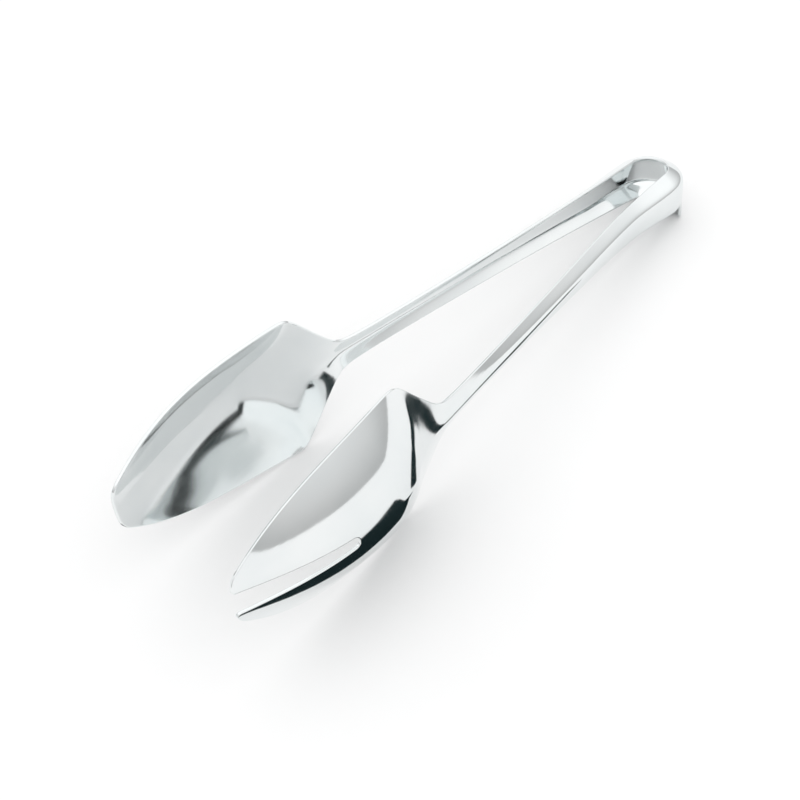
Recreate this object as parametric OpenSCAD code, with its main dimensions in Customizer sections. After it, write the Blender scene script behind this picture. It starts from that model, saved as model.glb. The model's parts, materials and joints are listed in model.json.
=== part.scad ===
// Serving tongs: one polished stainless strip, pressed into a channel section,
// bent into a U at the bow, with a spoon blade on one arm and a fork blade on
// the other. The strip is divided into nodes where it bends or changes its form.
//
// Frame: +X runs from the blades to the bow, +Y to the spoon side, +Z up.
// The tongs stand on the blades' lower edges and on the foot under the bow.
// Each side is drawn from a run along the strip's edges: s is the distance
// along that run from the bow's end, and v goes from -1 at the lower edge of
// the strip to 1 at its upper edge.

/* [Sheet] */
// Thickness of the stainless sheet
sheet = 1.2; // [0.8:0.1:1.6]

/* [Bow] */
// Bend radius of the strip's edges, at mid-thickness
bow_radius = 7.2; // [6.6:0.1:7.8]
// Height of the strip at the bow
bow_height = 18.2; // [17:0.2:20]
// Depth of the channel section at the bow
bow_depth = 5.9; // [5.4:0.1:6.4]
// Clearance between the bow and each arm
bow_gap = 0.1; // [0.1:0.05:0.3]

/* [Foot] */
// Angle round the bow that the foot takes up
foot_angle = 128; // [90:2:136]
// Radius of the foot's lower corners
foot_corner = 1.6; // [0.8:0.1:1.8]
// Nose-down lean of the tongs as they stand, in degrees
rest_pitch = 5.8; // [5.6:0.1:6]

/* [Arms] */
// Length of each arm, from the bow's end to the neck
arm_length = 145; // [140:0.5:150]
// Depth of the channel section in the arm, past the bow
arm_depth = 4.4; // [4:0.1:5]
// Height of the strip at the neck
neck_height = 9.4; // [8.4:0.2:12]
// Depth of the channel section at the neck
neck_depth = 2.3; // [2:0.1:3.5]
// Angle of each arm away from the centre plane, in degrees
arm_tilt = 7.3; // [6.5:0.1:8]
// Angle of the spoon side where it leaves the bow, in degrees
spoon_lead = 7.6; // [5:0.1:9]
// Angle of the fork side where it leaves the bow, in degrees
fork_lead = -0.4; // [-1:0.1:7]
// Length over which each arm takes up its own angle
lead_length = 52; // [40:1:65]

/* [Blades] */
// Length of the shoulder, from the neck to the blade's corners
shoulder_length = 19.4; // [17:0.2:24]
// Length of the blade, from its corners to its tip
blade_length = 75; // [65:1:85]
// Height of the blade at its corners
corner_height = 60.6; // [52:0.2:64]
// Extra height of the blade's widest place over a straight taper
leaf_swell = 26.5; // [18:0.5:30]
// How far the swell is moved towards the tip
leaf_skew = 0.6; // [0:0.1:0.7]
// Height of the blade at its blunt tip
tip_height = 16; // [13:0.5:20]
// Depth of the dish
dish_depth = 13.2; // [9:0.2:14]
// Depth of the dish at the tip
tip_depth = 1.1; // [0.5:0.1:3]
// Angle of the shoulder's edges away from the centre plane, in degrees
shoulder_tilt = 1.5; // [-1:0.5:4]
// Angle of the blade's edges at its corners, in degrees
blade_tilt = 7; // [5:0.5:9]
// How much sooner the blade's edges turn inwards than evenly, in degrees
middle_tilt = 1.4; // [0:0.2:2]
// Angle of the blade's edges at its tip, in degrees
tip_tilt = -2; // [-4:0.5:1]

/* [Fork slot] */
// Length of the slot
slot_length = 41; // [25:1:50]
// Width of the slot at its closed end
slot_width = 4.6; // [3:0.2:6]
// Width of the slot at the tips of the tines
slot_mouth = 9; // [6:0.2:11]

/* [Hidden] */
$fn = 64;

steel = [0.80, 0.83, 0.83];
half_sheet = sheet / 2;
run_length = arm_length + shoulder_length + blade_length;
corner_at = arm_length + shoulder_length;
arm_steps = 24;
blade_steps = 44;
arm_strips = 12;
blade_strips = 18;
neck_fillet = 3.9;    // length of the rounding between arm and shoulder
corner_fillet = 4;    // size of the rounding at the blade's corners
tip_round = 3;        // radius of the blade's tip corners
turn_length = 4;      // half the length over which the run changes angle
bow_run = 24;         // length of arm over which the bow's depth is lost
bow_web = 0.6;        // share of the channel that is flat, at the bow
neck_web = 0.12;      // the same at the neck
dish_web = 0.44;      // the same in the blade
crease = 0.28;        // softness of the channel's creases
dish_crease = 0.79;   // softness of the dish's creases

function smooth(t) = t <= 0 ? 0 : t >= 1 ? 1 : t * t * (3 - 2 * t);
function mix(a, b, t) = a + (b - a) * t;
function soft_ramp(x, r) = (x + sqrt(x * x + r * r)) / 2;

// Angle of the run at s
function blade_angle(s) =
    let (t = max(0, s - corner_at) / blade_length)
    mix(blade_tilt, tip_tilt, t) + 8 * middle_tilt * t * (1 - t) * (1 - 2 * t);
function run_angle(s, lead) =
    let (arm = mix(lead, arm_tilt, smooth(s / lead_length)),
         shoulder = mix(arm, shoulder_tilt, smooth((s - arm_length + turn_length) / (2 * turn_length))))
    mix(shoulder, blade_angle(s), smooth((s - corner_at + turn_length) / (2 * turn_length)));

// Half height of the strip at s
taper_power = 2.25;
shoulder_slope = (corner_height - neck_height) / 2 / shoulder_length;
function arm_half(s) =
    (neck_height + (bow_height - neck_height) * pow(max(0, 1 - s / arm_length), taper_power)) / 2;
function shoulder_half(s) = arm_half(s) + shoulder_slope * soft_ramp(s - arm_length, neck_fillet);
function leaf_half(s) =
    let (t = (s - corner_at) / blade_length)
    mix(corner_height, tip_height, t) / 2 + leaf_swell * t * (1 - t) * (1 + leaf_skew * (2 * t - 1));
function half_height(s) =
    let (a = shoulder_half(s), b = leaf_half(s), d = a - b,
         fillet = corner_fillet * smooth(2 * (s - arm_length) / shoulder_length))
    s < arm_length ? a : (a + b - sqrt(d * d + fillet * fillet)) / 2;

// Share of the half height that is left beside the tip's rounded corners
function trim(s) =
    let (a = max(0, s - run_length + tip_round))
    1 - (tip_round - sqrt(max(0, tip_round * tip_round - a * a))) / half_height(s);

// Depth of the section at s
deepest = 0.39;       // where the dish is deepest, as a share of shoulder and blade
function dish(t) =
    t < deepest ? mix(neck_depth, dish_depth, smooth(t / deepest))
                : mix(tip_depth, dish_depth, cos(90 * (t - deepest) / (1 - deepest)));
function depth(s) =
    s < arm_length ? mix(bow_depth, mix(arm_depth, neck_depth, smooth(s / arm_length)),
                         smooth(s / bow_run))
                   : dish((s - arm_length) / (run_length - arm_length));

// Shape of the section: 1 across the flat web, falling to 0 at the edges
function web(s) =
    s < arm_length ? mix(bow_web, neck_web, s / arm_length)
                   : mix(neck_web, dish_web, smooth((s - arm_length) / shoulder_length));
function softness(s) = mix(crease, dish_crease, smooth((s - arm_length) / shoulder_length));
function section(s, v) =
    let (f = web(s), r = softness(s), x = (abs(v) - f) / (1 - f))
    (soft_ramp(1, r) - soft_ramp(x, r)) / (soft_ramp(1, r) - soft_ramp(-f / (1 - f), r));

// Places on the run, by adding up short steps from the bow's end
function run_start(lead) = [bow_radius * sin(lead), bow_radius * cos(lead)];
function run_places(stations, lead) = [
    for (i = 0, p = run_start(lead); i < len(stations); i = i + 1,
         a = i < len(stations) ? run_angle((stations[i] + stations[i - 1]) / 2, lead) : 0,
         d = i < len(stations) ? stations[i] - stations[i - 1] : 0,
         p = p + d * [-cos(a), sin(a)]) p
];

// A point of the mid-surface, a small way along the run from the given place
function mid_point(place, s, v, lead, along = 0) =
    let (a = run_angle(s + along, lead), d = depth(s + along) * section(s + along, v))
    [place.x - along * cos(a) + d * sin(a),
     place.y + along * sin(a) + d * cos(a),
     v * half_height(s + along)];

function unit(p) = p / norm(p);

// A point of one face of the sheet, offset from the mid-surface along its normal
tiny = 0.02;
function face_point(place, s, v, lead, offset) =
    let (here = mid_point(place, s, v, lead),
         across = mid_point(place, s, v + tiny, lead) - mid_point(place, s, v - tiny, lead),
         along = mid_point(place, s, v, lead, tiny) - mid_point(place, s, v, lead, -tiny))
    here + offset * unit(cross(along, across));

// Steps along the sheet, closer together towards the blade's tip
function crowd(t, last) = last < run_length ? t : t + 0.12 * sin(180 * t) * t;

// The sheet between two stations of the run, as a closed solid
module pressed_sheet(first, last, steps, strips, lead) {
    all_steps = ceil(first / (arm_length / arm_steps));
    lead_in = [for (i = [0:all_steps]) all_steps == 0 ? 0 : first * i / all_steps];
    own = [for (i = [1:steps]) mix(first, last, crowd(i / steps, last))];
    places = run_places(concat(lead_in, own), lead);
    stations = concat([first], own);
    function face(offset) = [for (i = [0:steps]) for (j = [0:strips])
        face_point(places[i + all_steps], stations[i], trim(stations[i]) * (2 * j / strips - 1),
            lead, offset)];
    outer = face(half_sheet);
    inner = face(-half_sheet);
    n = len(outer);
    w = strips + 1;
    skins = [for (i = [0:steps - 1]) for (j = [0:strips - 1])
        let (a = i * w + j, b = a + 1, c = a + w, d = c + 1)
        each [[a, b, d], [a, d, c], [n + a, n + d, n + b], [n + a, n + c, n + d]]];
    sides = [for (i = [0:steps - 1])
        let (a = i * w, c = a + w, e = a + strips, g = c + strips)
        each [[a, c, n + c], [a, n + c, n + a], [e, n + g, g], [e, n + e, n + g]]];
    ends = [for (j = [0:strips - 1])
        let (a = j, b = j + 1, c = steps * w + j, d = c + 1)
        each [[a, n + b, b], [a, n + a, n + b], [c, d, n + d], [c, n + d, n + c]]];
    polyhedron(concat(outer, inner), concat(skins, sides, ends));
}

// The channel section at the bow, as an outline in radius and height
function bow_mid(v) = [bow_radius + bow_depth * section(0, v), v * bow_height / 2];
function bow_normal(v) =
    let (e = 0.01, t = bow_mid(min(1, v + e)) - bow_mid(max(-1, v - e)))
    unit([t.y, -t.x]);
module bow_section() {
    vs = [for (j = [0:arm_strips]) 2 * j / arm_strips - 1];
    outer = [for (v = vs) bow_mid(v) + half_sheet * bow_normal(v)];
    inner = [for (v = vs) bow_mid(-v) - half_sheet * bow_normal(-v)];
    polygon(concat(outer, inner));
}

// Where the tongs stand: the box round them is centred on the frame's origin
function leaned(p) = [p.x * cos(rest_pitch) + p.z * sin(rest_pitch), p.y,
                      p.z * cos(rest_pitch) - p.x * sin(rest_pitch)];
arm_stations = [for (i = [0:arm_steps - 1]) arm_length * i / arm_steps];
blade_stations = [for (i = [0:blade_steps])
    mix(arm_length, run_length, crowd(i / blade_steps, run_length))];
function blade_points(lead) =
    let (places = run_places(concat(arm_stations, blade_stations), lead))
    [for (i = [0:blade_steps]) for (j = [0:blade_strips]) for (offset = [-half_sheet, half_sheet])
        leaned(face_point(places[i + arm_steps], blade_stations[i],
            trim(blade_stations[i]) * (2 * j / blade_strips - 1), lead, offset))];
spoon_points = blade_points(spoon_lead);
fork_points = blade_points(fork_lead);
both_points = concat(spoon_points, fork_points);
bow_far = max([for (j = [0:arm_strips])
    let (v = 2 * j / arm_strips - 1, p = bow_mid(v) + half_sheet * bow_normal(v))
    leaned([p.x, 0, p.y]).x]);
shift_x = -(bow_far + min([for (p = both_points) p.x])) / 2;
shift_y = (max([for (p = fork_points) p.y]) - max([for (p = spoon_points) p.y])) / 2;
lift = -min([for (p = both_points) p.z]);
module stand() {
    translate([shift_x, shift_y, lift])
        rotate([0, rest_pitch, 0]) children();
}
foot_x = bow_radius + bow_depth;
fork_end = run_places(concat(arm_stations, blade_stations), fork_lead)[arm_steps + blade_steps];

module bent_strip() {
    gap_angle = bow_gap / bow_radius * 180 / PI;
    from_angle = -90 + fork_lead + gap_angle;
    to_angle = 90 - spoon_lead - gap_angle;
    rotate([0, 0, from_angle])
        rotate_extrude(angle = to_angle - from_angle, $fn = 96) bow_section();
}

module bow() {
    color(steel) stand() bent_strip();
}

// How low the foot's edge is, at a turn round the bow from its far end
function foot_edge(turn) = -(lift - foot_x * cos(turn) * sin(rest_pitch)) / cos(rest_pitch);

// What is cut away below a lower corner of the foot, which is on the +Y side
module corner_waste() {
    turn = foot_angle / 2 - foot_corner / foot_x * 180 / PI;
    corner_z = foot_edge(turn) + foot_corner;
    rotate([0, 0, turn]) translate([foot_x - bow_depth / 2, 0, corner_z]) difference() {
        translate([0, 0, -2 * foot_corner]) cube([bow_depth, 2 * foot_corner, 2 * foot_corner]);
        rotate([0, 90, 0]) cylinder(h = 3 * bow_depth, r = foot_corner, center = true);
    }
}

// The web carried down below the strip, as a plain ring before it is cut to length
module foot_ring() {
    ring_top = -bow_web * bow_height / 2;
    ring_low = foot_edge(90) - sheet;
    rotate([0, 0, -foot_angle / 2]) rotate_extrude(angle = foot_angle, $fn = 96)
        translate([foot_x - half_sheet, ring_low]) square([sheet, ring_top - ring_low]);
}

module bow_foot() {
    color(steel)
    difference() {
        stand() difference() {
            foot_ring();
            bent_strip();
            corner_waste();
            mirror([0, 1, 0]) corner_waste();
        }
        translate([0, -bow_height, -bow_height])
            cube([run_length, 2 * bow_height, bow_height]);
    }
}

module spoon_arm() {
    color(steel) stand()
        pressed_sheet(0, arm_length, arm_steps, arm_strips, spoon_lead);
}

module spoon_blade() {
    color(steel) stand()
        pressed_sheet(arm_length, run_length, blade_steps, blade_strips, spoon_lead);
}

module fork_arm() {
    color(steel) stand() mirror([0, 1, 0])
        pressed_sheet(0, arm_length, arm_steps, arm_strips, fork_lead);
}

// The fork's slot, seen along Y: a round closed end that widens to the tips
module slot_outline() {
    slot_x = fork_end.x + slot_length - slot_width / 2;
    mouth_x = fork_end.x - dish_depth;
    mouth = slot_mouth + (slot_mouth - slot_width) * dish_depth / slot_length;
    translate([slot_x, 0]) circle(d = slot_width);
    polygon([[slot_x, slot_width / 2], [mouth_x, mouth / 2],
             [mouth_x, -mouth / 2], [slot_x, -slot_width / 2]]);
}

module fork_blade() {
    color(steel) stand() mirror([0, 1, 0]) difference() {
        pressed_sheet(arm_length, run_length, blade_steps, blade_strips, fork_lead);
        rotate([90, 0, 0]) translate([0, 0, -2 * corner_height])
            linear_extrude(2 * corner_height) slot_outline();
    }
}

bow();
bow_foot();
spoon_arm();
spoon_blade();
fork_arm();
fork_blade();
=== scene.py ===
import json
import math

import bpy
import numpy as np
from mathutils import Matrix, Vector


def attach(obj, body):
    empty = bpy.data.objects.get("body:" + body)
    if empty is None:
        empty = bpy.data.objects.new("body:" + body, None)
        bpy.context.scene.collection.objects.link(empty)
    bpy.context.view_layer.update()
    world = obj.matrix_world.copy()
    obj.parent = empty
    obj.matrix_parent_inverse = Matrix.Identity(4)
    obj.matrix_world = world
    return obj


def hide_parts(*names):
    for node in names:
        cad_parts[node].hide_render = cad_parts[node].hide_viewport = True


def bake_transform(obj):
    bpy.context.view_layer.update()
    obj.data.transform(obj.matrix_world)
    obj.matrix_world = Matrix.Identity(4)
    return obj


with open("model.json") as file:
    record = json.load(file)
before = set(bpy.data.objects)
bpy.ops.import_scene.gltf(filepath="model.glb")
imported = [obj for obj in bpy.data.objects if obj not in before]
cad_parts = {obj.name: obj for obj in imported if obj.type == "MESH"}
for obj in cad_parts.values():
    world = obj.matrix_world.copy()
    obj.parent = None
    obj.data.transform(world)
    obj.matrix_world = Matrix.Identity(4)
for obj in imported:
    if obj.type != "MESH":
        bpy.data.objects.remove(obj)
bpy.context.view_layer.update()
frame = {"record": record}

MM = 0.001

# ---------------------------------------------------------------- dimensions, mm
SHEET = 1.2
HALF = SHEET / 2

# bow and foot
BOW_RADIUS = 7.2
BOW_HEIGHT = 18.2
BOW_DEPTH = 5.9
FOOT_ANGLE = math.radians(128)
FOOT_CORNER = 1.6
FOOT_TOP = 0.5          # where the foot begins, as a share of the bow's half height
FOOT_BEND = 4.0         # height over which the foot takes up the web's own radius
REST_PITCH = math.radians(5.8)

# arms, with angles in degrees
ARM_LENGTH = 145.0
ARM_DEPTH = 4.4
NECK_HEIGHT = 9.4
NECK_DEPTH = 2.3
ARM_TILT = 7.3
SPOON_LEAD = 7.6
FORK_LEAD = -0.4
LEAD_LENGTH = 52.0

# blades, with angles in degrees
SHOULDER_LENGTH = 19.4
BLADE_LENGTH = 75.0
CORNER_HEIGHT = 60.6
LEAF_SWELL = 26.5
LEAF_SKEW = 0.6
TIP_HEIGHT = 16.0
DISH_DEPTH = 13.2
TIP_DEPTH = 1.1
SHOULDER_TILT = 1.5
BLADE_TILT = 7.0
MIDDLE_TILT = 1.4
TIP_TILT = -2.0

# the fork's slot
SLOT_LENGTH = 41.0
SLOT_WIDTH = 4.6
SLOT_MOUTH = 9.0

# roundings, and shares of the section that are flat
NECK_FILLET = 3.9
CORNER_FILLET = 4.0
TIP_ROUND = 3.0
TINE_ROUND = 1.3
EDGE_ROUND = 0.35
TURN_LENGTH = 4.0
BOW_RUN = 24.0
BOW_WEB = 0.6
NECK_WEB = 0.12
DISH_WEB = 0.44
CREASE = 0.28
DISH_CREASE = 0.79
TAPER_POWER = 2.25
DEEPEST = 0.39

RUN_LENGTH = ARM_LENGTH + SHOULDER_LENGTH + BLADE_LENGTH
CORNER_AT = ARM_LENGTH + SHOULDER_LENGTH
FOOT_X = BOW_RADIUS + BOW_DEPTH
BEND_CENTRE = 0.64      # how far out the middle of a half bend's metal lies
PIVOT = BEND_CENTRE * (BOW_RADIUS + BOW_DEPTH / 2)

# fineness of the meshes
RUN_STEPS = 8000
SMALL_STEP = 0.01       # for slopes along and across the sheet
BORDER_STEP = 0.001     # for the width of the sheet's last stretch
TOUCH = 1e-6            # below this, the slot's two borders meet
CLEAR = 0.2             # smallest step between a rounding's stations and the rest
EDGE_TURNS = 4          # facets in a quarter of an edge's rounding
ROUND_POINTS = 15       # stations in a rounded corner
FOOT_ROWS = 16
FOOT_COLUMNS = 61
CORNER_POINTS = 9


# ---------------------------------------------------------------- the strip's form
def smooth(t):
    t = np.clip(t, 0.0, 1.0)
    return t * t * (3 - 2 * t)


def mix(a, b, t):
    return a + (b - a) * t


def soft_ramp(x, r):
    return (x + np.sqrt(x * x + r * r)) / 2


def run_angle(s, lead):
    arm = mix(lead, ARM_TILT, smooth(s / LEAD_LENGTH))
    t = np.maximum(0, s - CORNER_AT) / BLADE_LENGTH
    blade = mix(BLADE_TILT, TIP_TILT, t) + 8 * MIDDLE_TILT * t * (1 - t) * (1 - 2 * t)
    turn = 2 * TURN_LENGTH
    shoulder = mix(arm, SHOULDER_TILT, smooth((s - ARM_LENGTH + TURN_LENGTH) / turn))
    return np.radians(mix(shoulder, blade, smooth((s - CORNER_AT + TURN_LENGTH) / turn)))


def half_height(s):
    taper = np.maximum(0, 1 - s / ARM_LENGTH) ** TAPER_POWER
    arm = (NECK_HEIGHT + (BOW_HEIGHT - NECK_HEIGHT) * taper) / 2
    slope = (CORNER_HEIGHT - NECK_HEIGHT) / 2 / SHOULDER_LENGTH
    shoulder = arm + slope * soft_ramp(s - ARM_LENGTH, NECK_FILLET)
    t = (s - CORNER_AT) / BLADE_LENGTH
    leaf = mix(CORNER_HEIGHT, TIP_HEIGHT, t) / 2
    leaf = leaf + LEAF_SWELL * t * (1 - t) * (1 + LEAF_SKEW * (2 * t - 1))
    d = shoulder - leaf
    fillet = CORNER_FILLET * smooth(2 * (s - ARM_LENGTH) / SHOULDER_LENGTH)
    blade = (shoulder + leaf - np.sqrt(d * d + fillet * fillet)) / 2
    return np.where(s < ARM_LENGTH, shoulder, blade)


def depth(s):
    arm = mix(BOW_DEPTH, mix(ARM_DEPTH, NECK_DEPTH, smooth(s / ARM_LENGTH)), smooth(s / BOW_RUN))
    t = (s - ARM_LENGTH) / (RUN_LENGTH - ARM_LENGTH)
    near = mix(NECK_DEPTH, DISH_DEPTH, smooth(t / DEEPEST))
    far = mix(TIP_DEPTH, DISH_DEPTH, np.cos(math.pi / 2 * (t - DEEPEST) / (1 - DEEPEST)))
    return np.where(s < ARM_LENGTH, arm, np.where(t < DEEPEST, near, far))


def section(s, v):
    blend = smooth((s - ARM_LENGTH) / SHOULDER_LENGTH)
    f = np.where(s < ARM_LENGTH, mix(BOW_WEB, NECK_WEB, s / ARM_LENGTH),
                 mix(NECK_WEB, DISH_WEB, blend))
    r = mix(CREASE, DISH_CREASE, blend)
    x = (np.abs(v) - f) / (1 - f)
    edge = soft_ramp(1, r)
    return (edge - soft_ramp(x, r)) / (edge - soft_ramp(-f / (1 - f), r))


class Side:
    """One side of the tongs. way is 1 for the spoon side, -1 for the fork side."""

    def __init__(self, lead, way):
        self.lead, self.way = lead, way
        self.s = np.linspace(0, RUN_LENGTH, RUN_STEPS + 1)
        a = run_angle((self.s[1:] + self.s[:-1]) / 2, lead)
        d = np.diff(self.s)
        begin = math.radians(lead)
        self.begin_arc = BOW_RADIUS * (math.pi / 2 - begin)
        self.x = BOW_RADIUS * math.sin(begin) - np.append(0, np.cumsum(d * np.cos(a)))
        self.y = BOW_RADIUS * math.cos(begin) + np.append(0, np.cumsum(d * np.sin(a)))

    def middle(self, s, v):
        """Points of the sheet's mid-surface. s below 0 goes round the bow."""
        on = np.maximum(s, 0)
        a = run_angle(on, self.lead)
        d = depth(on) * section(on, v)
        x = np.interp(on, self.s, self.x) + d * np.sin(a)
        y = np.interp(on, self.s, self.y) + d * np.cos(a)
        turn = (self.begin_arc + np.minimum(s, 0)) / BOW_RADIUS
        x = np.where(s < 0, (BOW_RADIUS + d) * np.cos(turn), x)
        y = np.where(s < 0, (BOW_RADIUS + d) * np.sin(turn), y)
        return np.stack([x, self.way * y, v * half_height(on)], -1)

    def normal(self, s, v):
        """Unit normal of the mid-surface, away from the other side."""
        e = SMALL_STEP
        across = self.middle(s, v + e) - self.middle(s, v - e)
        along = self.middle(s + e, v) - self.middle(s - e, v)
        n = self.way * np.cross(along, across)
        return n / np.linalg.norm(n, axis=-1, keepdims=True)


SPOON = Side(SPOON_LEAD, 1)
FORK = Side(FORK_LEAD, -1)


# ---------------------------------------------------------------- into the frame
def leaned(p):
    """From the bow's own axes to the frame's, by the tongs' lean as they stand."""
    c, s = math.cos(REST_PITCH), math.sin(REST_PITCH)
    return np.stack([p[..., 0] * c + p[..., 2] * s, p[..., 1],
                     p[..., 2] * c - p[..., 0] * s], -1)


JOINTS = {joint["name"]: joint for joint in frame["record"]["behaviour"]["joints"]}
HINGE_POINT = np.array(JOINTS["spoon_close"]["pos_m"])
SHIFT = HINGE_POINT - leaned(np.array([PIVOT, PIVOT, 0.0])) * MM


def placed(p):
    """From millimetres in the bow's own axes to metres in the frame."""
    return leaned(np.asarray(p, float)) * MM + SHIFT


# ---------------------------------------------------------------- meshes
class Builder:
    """Collects corners with their normals, and faces turned to agree with them."""

    def __init__(self):
        self.points = np.zeros((0, 3))
        self.normals = np.zeros((0, 3))
        self.faces, self.shades = [], []

    def add(self, points, normals):
        flat = points.reshape(-1, 3)
        first = len(self.points)
        self.points = np.vstack([self.points, flat])
        self.normals = np.vstack([self.normals, normals.reshape(-1, 3)])
        return first + np.arange(len(flat)).reshape(points.shape[:-1])

    def quads(self, ids):
        a, b, c, d = ids[:-1, :-1], ids[1:, :-1], ids[1:, 1:], ids[:-1, 1:]
        for face in np.stack([a.ravel(), b.ravel(), c.ravel(), d.ravel()], -1):
            self.face(face)

    def face(self, ids, normal=None):
        """Adds a face. A given normal makes it flat; without one it is shaded smooth."""
        ids = list(dict.fromkeys(int(i) for i in ids))
        if len(ids) < 3:
            return
        p = self.points[ids]
        turned = np.roll(p, -1, axis=0)
        facing = np.cross(p, turned).sum(axis=0)
        wanted = self.normals[ids].sum(axis=0) if normal is None else normal
        if facing @ wanted < 0:
            ids.reverse()
        self.faces.append(ids)
        self.shades.extend(self.normals[ids] if normal is None else [normal] * len(ids))

    def make(self, name):
        mesh = bpy.data.meshes.new(name)
        mesh.from_pydata([tuple(p) for p in placed(self.points)], [], self.faces)
        mesh.shade_smooth()
        mesh.normals_split_custom_set([tuple(n) for n in leaned(np.array(self.shades))])
        obj = bpy.data.objects.new(name, mesh)
        bpy.context.collection.objects.link(obj)
        return obj


def centre_x(side, s):
    return side.middle(s, np.zeros_like(s))[..., 0]


def slot_centre(side):
    return centre_x(side, np.array([RUN_LENGTH]))[0] + SLOT_LENGTH - SLOT_WIDTH / 2


def corner_drop(s, radius):
    """How far a rounded corner of that radius at the tip takes the border in."""
    a = np.maximum(0, s - (RUN_LENGTH - EDGE_ROUND) + radius)
    return radius - np.sqrt(np.maximum(0, radius * radius - a * a))


def borders(side, s, tip, slot):
    """Outer and inner border in v at each station, less the edge's own rounding."""
    h = half_height(s)
    one = np.ones_like(s)
    near = side.middle(s, one - BORDER_STEP)
    stretch = np.linalg.norm(side.middle(s, one) - near, axis=-1) / BORDER_STEP
    outer = one - EDGE_ROUND / stretch
    inner = np.zeros_like(s)
    if tip:
        outer = outer - corner_drop(s, TIP_ROUND - EDGE_ROUND) / h
    if slot:
        x = centre_x(side, s) - slot_centre(side)
        r = SLOT_WIDTH / 2 + EDGE_ROUND
        spread = (SLOT_MOUTH - SLOT_WIDTH) / 2 / (SLOT_LENGTH - SLOT_WIDTH / 2)
        w = np.where(x > 0, np.sqrt(np.maximum(0, r * r - x * x)), r - spread * x)
        w = w + corner_drop(s, TINE_ROUND - EDGE_ROUND)
        inner = np.where(x < r - TOUCH, w, 0) / h
    return outer, inner


def stations(side, first, last, count, tip, slot):
    """Places along the run, closer together in the slot's end and the tip's corners."""
    s = np.linspace(first, last, count)
    quarter = np.linspace(0, math.pi / 2, ROUND_POINTS)
    if slot:
        r = SLOT_WIDTH / 2 + EDGE_ROUND
        fine = np.linspace(first, last, RUN_STEPS // 2 + 1)
        x = slot_centre(side) + r * np.cos(quarter)
        near = np.interp(-x, -centre_x(side, fine), fine)
        s = np.concatenate([s[s < near[0] - CLEAR], near, s[s > near[-1] + CLEAR]])
    if tip:
        end = RUN_LENGTH - EDGE_ROUND
        r = TIP_ROUND - EDGE_ROUND
        s = np.append(s[s < end - r - CLEAR], end - r + r * np.sin(quarter))
    return s


def sweep_edge(build, side, m, n, top, low):
    """Rounds the sheet's edge along one line of its border."""
    t = np.gradient(m, axis=0)
    e = np.cross(t, n) * side.way
    e -= n * np.sum(e * n, axis=1, keepdims=True)
    e /= np.linalg.norm(e, axis=1, keepdims=True)
    flat = HALF - EDGE_ROUND
    rows = [top]
    for face in (1, -1):
        turns = np.linspace(0, math.pi / 2, EDGE_TURNS + 1)[1:]
        for a in (turns if face > 0 else turns[::-1]):
            out, up = math.sin(a), face * math.cos(a)
            rows.append(build.add(m + EDGE_ROUND * (out * e + up * n) + face * flat * n,
                                  out * e + up * n))
    rows.append(low)
    rows = np.array(rows)
    build.quads(rows)
    return rows


def at(grids, places):
    """The values of one of several grids at each place: its number, row and column."""
    return np.array([grids[number][row, column] for number, row, column in places])


def border_lines(end, columns, opened, tip, slot):
    """Each line of border to be rounded, as places in the upper (0) and lower (1) half."""
    lower_edge = [(1, i, columns) for i in range(end + 1)]
    upper_edge = [(0, i, columns) for i in range(end, -1, -1)]
    if not tip:
        return [lower_edge, upper_edge]
    lower_tip = [(1, end, j) for j in range(columns - 1, 0, -1)]
    upper_tip = [(0, end, j) for j in range(1, columns)]
    inside = [(0, end, 0)]
    if slot:
        inside = [(1, i, 0) for i in range(end, opened - 1, -1)]
        inside += [(0, i, 0) for i in range(opened - 1, end + 1)]
    return [lower_edge + lower_tip + inside + upper_tip + upper_edge]


def flat_end(build, side, s, row, skins, edges, tip):
    """Closes the sheet with a flat end at its first or last station."""
    beyond = s[row] + (SMALL_STEP if row else -SMALL_STEP)
    out = side.middle(beyond, 0) - side.middle(s[row], 0)
    out = out / np.linalg.norm(out)
    for half in (0, 1):
        top, low = skins[1][half][row], skins[-1][half][row]
        for j in range(len(top) - 1):
            build.face([top[j], top[j + 1], low[j + 1], low[j]], out)
    for number, edge in enumerate(edges):
        begins_here = (number == 0) == (row == 0)
        columns = (0, -1) if tip else (0,) if begins_here else (-1,)
        for column in columns:
            build.face(edge[:, column], out)


def length_of_sheet(name, side, first, last, rows, columns, tip=False, slot=False):
    """The sheet from one station to another, as a closed solid with rounded edges."""
    s = stations(side, first, last, rows, tip, slot)
    outer, inner = borders(side, s, tip, slot)
    u = np.linspace(0, 1, columns + 1)
    along = s[:, None] * np.ones(columns + 1)
    middles, normals = [], []
    for way in (1, -1):
        v = way * (inner[:, None] + (outer - inner)[:, None] * u)
        middles.append(side.middle(along, v))
        normals.append(side.normal(along, v))
    end = len(s) - 1
    opened = int(np.argmax(inner > 0)) if slot else end + 1
    build = Builder()
    skins = {}
    for face in (1, -1):
        upper, lower = [build.add(m + face * HALF * n, face * n)
                        for m, n in zip(middles, normals)]
        lower[:opened, 0] = upper[:opened, 0]
        build.quads(upper)
        build.quads(lower)
        skins[face] = (upper, lower)
    edges = [sweep_edge(build, side, at(middles, line), at(normals, line),
                        at(skins[1], line), at(skins[-1], line))
             for line in border_lines(end, columns, opened, tip, slot)]
    flat_end(build, side, s, 0, skins, edges, tip)
    if not tip:
        flat_end(build, side, s, end, skins, edges, tip)
    return build.make(name)


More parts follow.
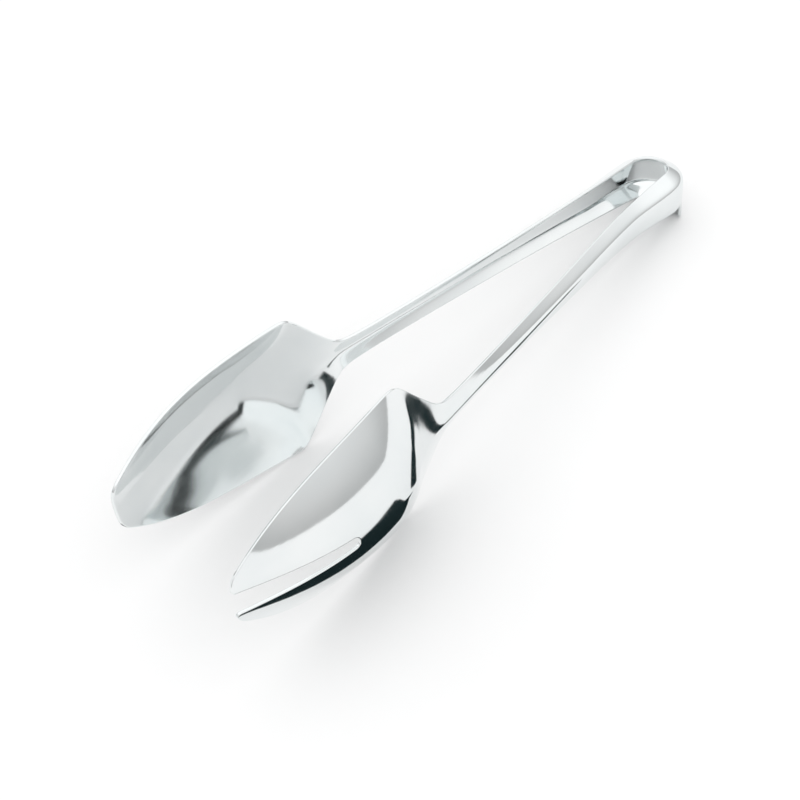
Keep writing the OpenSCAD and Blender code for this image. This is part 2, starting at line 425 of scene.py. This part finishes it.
def made_foot(name):
    """The lip under the bow: the web carried straight down to the surface."""
    r = FOOT_CORNER - EDGE_ROUND
    half = FOOT_ANGLE / 2 * FOOT_X - EDGE_ROUND
    corner = half - r + r * np.sin(np.linspace(0, math.pi / 2, CORNER_POINTS))
    straight = np.linspace(-half + r, half - r, FOOT_COLUMNS)[1:-1]
    u = np.concatenate([-corner[::-1], straight, corner])
    turn = u / FOOT_X
    lift = SHIFT[2] / MM
    edge = -(lift - FOOT_X * np.cos(turn) * math.sin(REST_PITCH)) / math.cos(REST_PITCH)
    rise = r - np.sqrt(np.maximum(0, r * r - np.maximum(0, np.abs(u) - half + r) ** 2))
    low = edge + EDGE_ROUND + rise
    top = -FOOT_TOP * BOW_HEIGHT / 2
    z = mix(low[None, :], top, np.linspace(0, 1, FOOT_ROWS)[:, None])
    held = BOW_RADIUS + BOW_DEPTH * section(0.0, FOOT_TOP)
    radius = mix(FOOT_X, held, smooth((z - top + FOOT_BEND) / FOOT_BEND))
    turn = turn[None, :] + 0 * z
    out = np.stack([np.cos(turn), np.sin(turn), 0 * turn], -1)
    m = np.stack([radius * np.cos(turn), radius * np.sin(turn), z], -1)
    build = Builder()
    faces = {f: build.add(m + f * HALF * out, f * out) for f in (1, -1)}
    for grid in faces.values():
        build.quads(grid)
    last = len(u) - 1
    line = [(0, i, 0) for i in range(FOOT_ROWS - 1, -1, -1)]
    line += [(0, 0, j) for j in range(1, last)]
    line += [(0, i, last) for i in range(FOOT_ROWS)]
    sweep_edge(build, SPOON, at([m], line), at([out], line), at([faces[1]], line),
               at([faces[-1]], line))
    return build.make(name)


# ---------------------------------------------------------------- the pieces
BOW_ROWS, ARM_ROWS, BLADE_ROWS = 46, 120, 170
ARM_COLUMNS, BLADE_COLUMNS = 28, 44

pieces = {}
for side, key in ((SPOON, "spoon"), (FORK, "fork")):
    for name, first, last, rows in ((f"bow_{key}_half", -side.begin_arc, 0.0, BOW_ROWS),
                                    (f"{key}_arm_steel", 0.0, ARM_LENGTH, ARM_ROWS)):
        pieces[name] = length_of_sheet(name, side, first, last, rows, ARM_COLUMNS)
    name = f"{key}_blade_steel"
    pieces[name] = length_of_sheet(name, side, ARM_LENGTH, RUN_LENGTH, BLADE_ROWS,
                                   BLADE_COLUMNS, True, key == "fork")
pieces["foot_steel"] = made_foot("foot_steel")

for key, way in (("spoon", 1), ("fork", -1)):
    body = f"{key}_side"
    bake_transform(pieces[f"bow_{key}_half"])
    for part in ("arm", "blade"):
        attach(pieces[f"{key}_{part}_steel"], body)
        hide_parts(f"{key}_{part}")
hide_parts("bow")
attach(pieces["foot_steel"], "bow")
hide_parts("bow_foot")


# ---------------------------------------------------------------- steel
GRAIN_SCALE = (60, 900, 900)    # hairlines, long in X
HAZE_SCALE = 45.0
WAVE_SCALE = 28.0
SMOOTHEST, ROUGHEST = 0.045, 0.125
DARKER_STEEL = (0.80, 0.83, 0.835, 1)
PALER_STEEL = (0.86, 0.88, 0.88, 1)


def steel():
    """Polished stainless: faint haze, hairline scratches and soft waves in the sheet."""
    mat = bpy.data.materials.new("polished_steel")
    mat.use_nodes = True
    nodes, links = mat.node_tree.nodes, mat.node_tree.links
    shader = nodes["Principled BSDF"]
    shader.inputs["Metallic"].default_value = 1.0

    def node(kind, **values):
        made = nodes.new(kind)
        for key, value in values.items():
            made.inputs[key].default_value = value
        return made

    def join(a, out, b, into):
        links.new(a.outputs[out], b.inputs[into])

    place = node("ShaderNodeTexCoord")
    stretch = node("ShaderNodeMapping", Scale=GRAIN_SCALE)
    join(place, "Object", stretch, "Vector")
    grain = node("ShaderNodeTexNoise", Scale=1.0, Detail=4.0)
    join(stretch, "Vector", grain, "Vector")
    haze = node("ShaderNodeTexNoise", Scale=HAZE_SCALE, Detail=5.0)
    join(place, "Object", haze, "Vector")

    both = node("ShaderNodeMath")
    both.operation = "MULTIPLY"
    join(grain, "Fac", both, 0)
    join(haze, "Fac", both, 1)
    rough = node("ShaderNodeMapRange", **{"From Max": 0.55, "To Min": SMOOTHEST,
                                          "To Max": ROUGHEST})
    join(both, "Value", rough, "Value")
    join(rough, "Result", shader, "Roughness")

    tint = node("ShaderNodeValToRGB")
    ends = tint.color_ramp.elements
    ends[0].position, ends[0].color = 0.3, DARKER_STEEL
    ends[1].position, ends[1].color = 0.7, PALER_STEEL
    join(haze, "Fac", tint, "Fac")
    join(tint, "Color", shader, "Base Color")

    waves = node("ShaderNodeTexNoise", Scale=WAVE_SCALE, Detail=1.0)
    join(place, "Object", waves, "Vector")
    fine = node("ShaderNodeBump", Strength=0.04, Distance=0.0001)
    join(grain, "Fac", fine, "Height")
    wavy = node("ShaderNodeBump", Strength=0.12, Distance=0.0006)
    join(waves, "Fac", wavy, "Height")
    join(fine, "Normal", wavy, "Normal")
    join(wavy, "Normal", shader, "Normal")
    return mat


STEEL = steel()
for obj in pieces.values():
    obj.data.materials.append(STEEL)


# ---------------------------------------------------------------- studio
FLOOR_SIZE = 6.0
FLOOR_DROP = 0.0002
CARD_LIFT = 0.0004
PALE = (0.95, 0.95, 0.95)
# the dark colour is for the cards that paint dark reflections in the steel
PAINTED_REFLECTION_DARK = (0.012, 0.022, 0.024)
HORIZON_RISE, OVERHEAD_RISE = -0.1, 0.75    # as the upward part of a direction
HORIZON_LIGHT, OVERHEAD_LIGHT = 0.5, 1.2


def card(name, size, colour, location):
    """A flat matt card of the studio, facing up."""
    mesh = bpy.data.meshes.new(name)
    x, y = size[0] / 2, size[1] / 2
    mesh.from_pydata([(-x, -y, 0), (x, -y, 0), (x, y, 0), (-x, y, 0)], [], [(0, 1, 2, 3)])
    obj = bpy.data.objects.new(name, mesh)
    obj.location = location
    bpy.context.collection.objects.link(obj)
    mat = bpy.data.materials.new(name)
    mat.use_nodes = True
    shader = mat.node_tree.nodes["Principled BSDF"]
    shader.inputs["Base Color"].default_value = (*colour, 1)
    shader.inputs["Roughness"].default_value = 0.9
    shader.inputs["Specular IOR Level"].default_value = 0.0
    mesh.materials.append(mat)
    return obj


def painted_reflection_card(name, size, centre):
    """A dark card on the floor that only the steel's reflections see: a painted reflection,
    hidden from the camera, from shadows and from diffuse light.
    """
    obj = card(name, size, PAINTED_REFLECTION_DARK, (*centre, CARD_LIFT))
    obj.visible_camera = False
    obj.visible_shadow = False
    obj.visible_diffuse = False


card("floor", (FLOOR_SIZE, FLOOR_SIZE), PALE, (0, 0, -FLOOR_DROP))
# painted reflections: dark cards that put dark bands in the steel beside the fork, the spoon and
# the arm
painted_reflection_card("painted_reflection_by_fork", (0.100, 0.042), (-0.088, -0.060))
painted_reflection_card("painted_reflection_by_spoon", (0.100, 0.042), (-0.088, 0.060))
painted_reflection_card("painted_reflection_by_arm", (0.11, 0.012), (0.025, -0.045))


def soft_sky():
    """A plain white room, brighter overhead than at the horizon."""
    world = bpy.data.worlds.new("studio")
    bpy.context.scene.world = world
    world.use_nodes = True
    sky = world.node_tree
    direction = sky.nodes.new("ShaderNodeTexCoord")
    parts = sky.nodes.new("ShaderNodeSeparateXYZ")
    rise = sky.nodes.new("ShaderNodeMapRange")
    rise.interpolation_type = "SMOOTHSTEP"
    for socket, value in (("From Min", HORIZON_RISE), ("From Max", OVERHEAD_RISE),
                          ("To Min", HORIZON_LIGHT), ("To Max", OVERHEAD_LIGHT)):
        rise.inputs[socket].default_value = value
    background = sky.nodes["Background"]
    background.inputs["Color"].default_value = (1, 1, 1, 1)
    sky.links.new(direction.outputs["Generated"], parts.inputs["Vector"])
    sky.links.new(parts.outputs["Z"], rise.inputs["Value"])
    sky.links.new(rise.outputs["Result"], background.inputs["Strength"])


soft_sky()
bpy.context.scene.view_settings.view_transform = "Standard"

# ---------------------------------------------------------------- camera
AZIMUTH = math.radians(-42.87)
ELEVATION = math.radians(43.35)
ROLL = math.radians(-6.0)
DISTANCE = 464.5
AIM = np.array([-145.3, -5.79, 0.0])
SENSOR_WIDTH = 36.0
FOCAL_SHARE = 1.759     # focal length as a share of the sensor's width


def made_camera():
    """The camera, in the bow's own axes, then leaned with the tongs."""
    back = np.array([math.sin(AZIMUTH) * math.cos(ELEVATION),
                     -math.cos(AZIMUTH) * math.cos(ELEVATION), math.sin(ELEVATION)])
    level = np.array([math.cos(AZIMUTH), math.sin(AZIMUTH), 0.0])
    upward = np.cross(back, level)
    right = math.cos(ROLL) * level + math.sin(ROLL) * upward
    up = math.cos(ROLL) * upward - math.sin(ROLL) * level
    turn = Matrix(np.stack([leaned(right), leaned(up), leaned(back)], 1).tolist())
    spot = Vector(placed(AIM + DISTANCE * back))
    data = bpy.data.cameras.new("camera")
    data.sensor_width = SENSOR_WIDTH
    data.lens = FOCAL_SHARE * SENSOR_WIDTH
    data.clip_start, data.clip_end = 0.05, 20
    camera = bpy.data.objects.new("camera", data)
    bpy.context.collection.objects.link(camera)
    camera.matrix_world = Matrix.Translation(spot) @ turn.to_4x4()
    return camera


bpy.context.scene.camera = made_camera()
